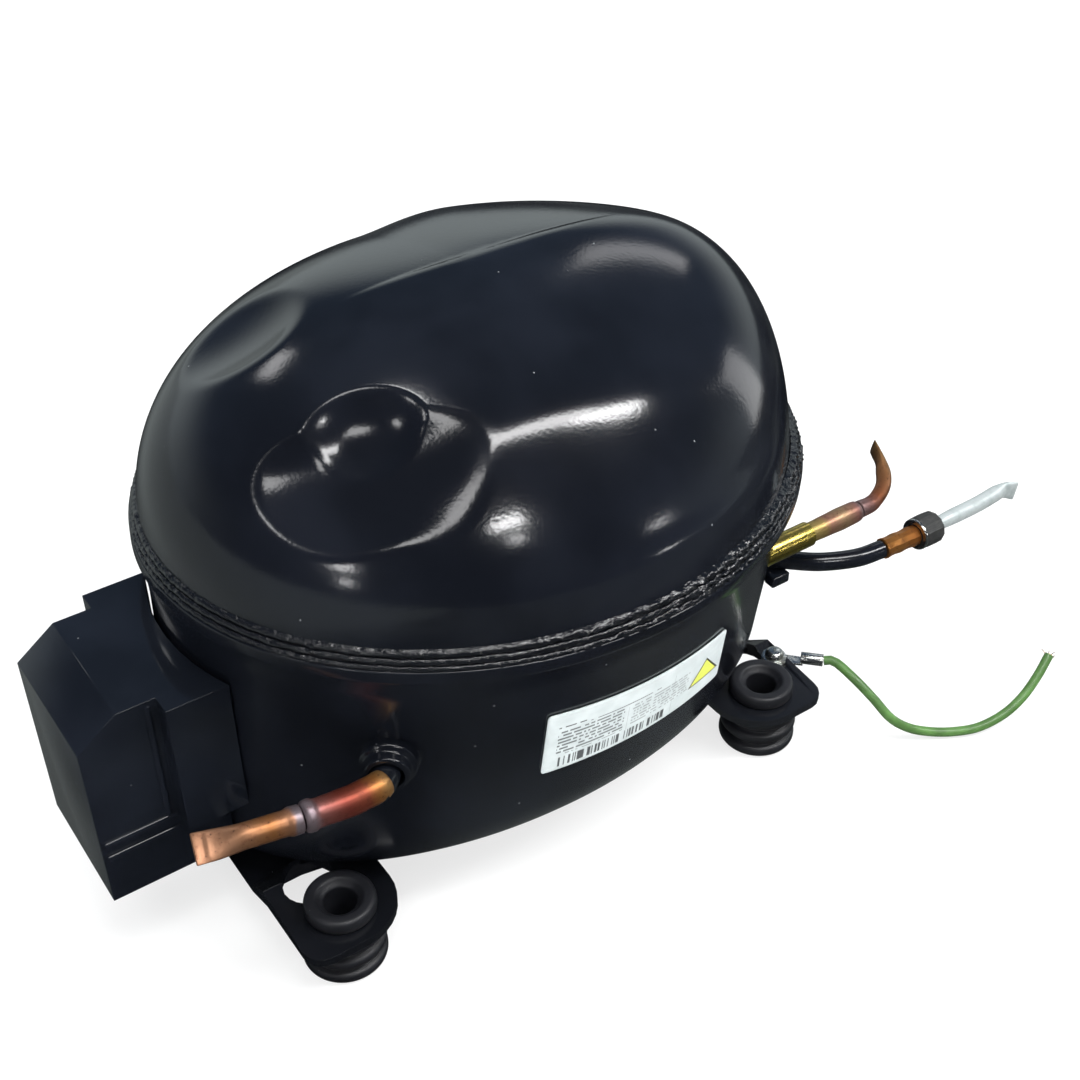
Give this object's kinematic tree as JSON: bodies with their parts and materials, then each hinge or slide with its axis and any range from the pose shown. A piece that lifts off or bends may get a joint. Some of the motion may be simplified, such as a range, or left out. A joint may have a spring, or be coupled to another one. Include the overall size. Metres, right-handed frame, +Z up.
{
  "type": "hermetic reciprocating compressor",
  "caption": "Sealed refrigerator compressor: oval steel shell on rubber feet, with terminal cover, pipe stubs, and a spring-hung motor and piston pump inside.",
  "frame": {"origin": "middle of the bounding box, without the free earth wire, on the floor under the rubber feet", "axes": "+X along the long side, from the terminal cover to the two pipe stubs; +Z up; -Y is the side with the label and the front pipe stub"},
  "size_m": [0.3338, 0.1982, 0.194],
  "materials": {
    "black_shell": "gloss black enamel, slight orange peel",
    "black_bracket": "gloss black enamel",
    "weld": "rippled weld bead under black enamel",
    "label_film": "satin white film with grey print",
    "rubber": "matt black moulded rubber",
    "black_pipe": "semi-gloss black enamel on steel",
    "copper": "bare copper, heat tinted near the brazed joints",
    "brass": "bare brass",
    "charcoal_steel": "dark phosphated steel",
    "aluminium": "drawn aluminium",
    "steel": "zinc plated steel",
    "spring_steel": "spring steel",
    "gloss_black_plastic": "gloss black moulded plastic",
    "black_plastic": "black phenolic",
    "white_plastic": "off-white nylon",
    "green_wire": "green PVC insulation",
    "lamination": "stacked steel laminations",
    "winding": "enamelled copper wire",
    "cast_iron": "machined grey cast iron",
    "muffler_plastic": "cream thermoplastic"
  },
  "bodies": {
    "shell": {"upper_shell": "black_shell", "lower_shell": "black_shell", "weld_bead": "weld", "rating_label": "label_film", "foot_bracket_left": "black_bracket", "foot_bracket_right": "black_bracket", "grommet_front_left": "rubber", "grommet_front_right": "rubber", "grommet_rear_left": "rubber", "grommet_rear_right": "rubber", "front_pipe_boss": "black_pipe", "front_pipe_elbow": "black_pipe", "front_pipe_sleeve": "copper", "front_pipe_tail": "copper", "upper_pipe_collar": "brass", "upper_pipe_sleeve": "copper", "upper_pipe_tail": "copper", "pipe_support_block": "black_pipe", "lower_pipe_line": "black_pipe", "lower_pipe_adaptor": "copper", "lower_pipe_nut": "charcoal_steel", "lower_pipe_tail": "aluminium", "hermetic_terminal": "steel", "terminal_pin_1": "steel", "terminal_pin_2": "steel", "terminal_pin_3": "steel", "starter_relay": "white_plastic", "overload_protector": "black_plastic", "cover_bracket": "steel", "earth_screw": "steel", "earth_ring_terminal": "steel", "earth_wire": "green_wire", "spring_peg_front_left": "steel", "spring_peg_front_right": "steel", "spring_peg_rear_left": "steel", "spring_peg_rear_right": "steel"},
    "terminal_cover": {"terminal_cover": "gloss_black_plastic"},
    "pump_unit": {"crankcase": "cast_iron", "stator_core": "lamination", "stator_winding_lower": "winding", "stator_winding_upper": "winding", "valve_plate": "steel", "cylinder_head": "aluminium", "suction_muffler": "muffler_plastic", "suction_pipe": "steel", "discharge_loop": "steel", "discharge_muffler": "steel", "spring_front_left": "spring_steel", "spring_front_right": "spring_steel", "spring_rear_left": "spring_steel", "spring_rear_right": "spring_steel"},
    "crank": {"crankshaft": "cast_iron", "rotor_core": "aluminium", "oil_pickup": "steel"},
    "slide": {"slide_block": "steel"},
    "plug": {"oil_plug": "steel"},
    "piston": {"piston_yoke": "steel"}
  },
  "joints": [
    {"name": "cover_slide", "type": "slide", "parent": "shell", "child": "terminal_cover", "axis": [-1, 0, 0], "range_m": [0, 0.06]},
    {"name": "pump_float", "type": "slide", "parent": "shell", "child": "pump_unit", "axis": [0, 0, 1], "range_m": [-0.002, 0.002], "stiffness_N_per_m": 20000, "springref_m": 0.00255, "deforming": ["spring_front_left", "spring_front_right", "spring_rear_left", "spring_rear_right", "discharge_loop"]},
    {"name": "crank_spin", "type": "hinge", "parent": "pump_unit", "child": "crank", "pos_m": [-0.02302, 0, 0.08], "axis": [0, 0, 1], "continuous": true},
    {"name": "slide_turn", "type": "hinge", "parent": "crank", "child": "slide", "pos_m": [-0.02302, 0.008, 0.138], "axis": [0, 0, 1], "continuous": true},
    {"name": "plug_turn", "type": "hinge", "parent": "crank", "child": "plug", "pos_m": [-0.02302, 0.004, 0.138], "axis": [0, 0, 1], "continuous": true},
    {"name": "piston_travel", "type": "hinge", "parent": "plug", "child": "piston", "pos_m": [-0.02302, 0, 0.138], "axis": [0, 0, 1], "continuous": true}
  ],
  "couplings": [
    {"joint": "slide_turn", "follows": "crank_spin", "ratio": -1},
    {"joint": "plug_turn", "follows": "crank_spin", "ratio": -2},
    {"joint": "piston_travel", "follows": "crank_spin", "ratio": 1}
  ]
}
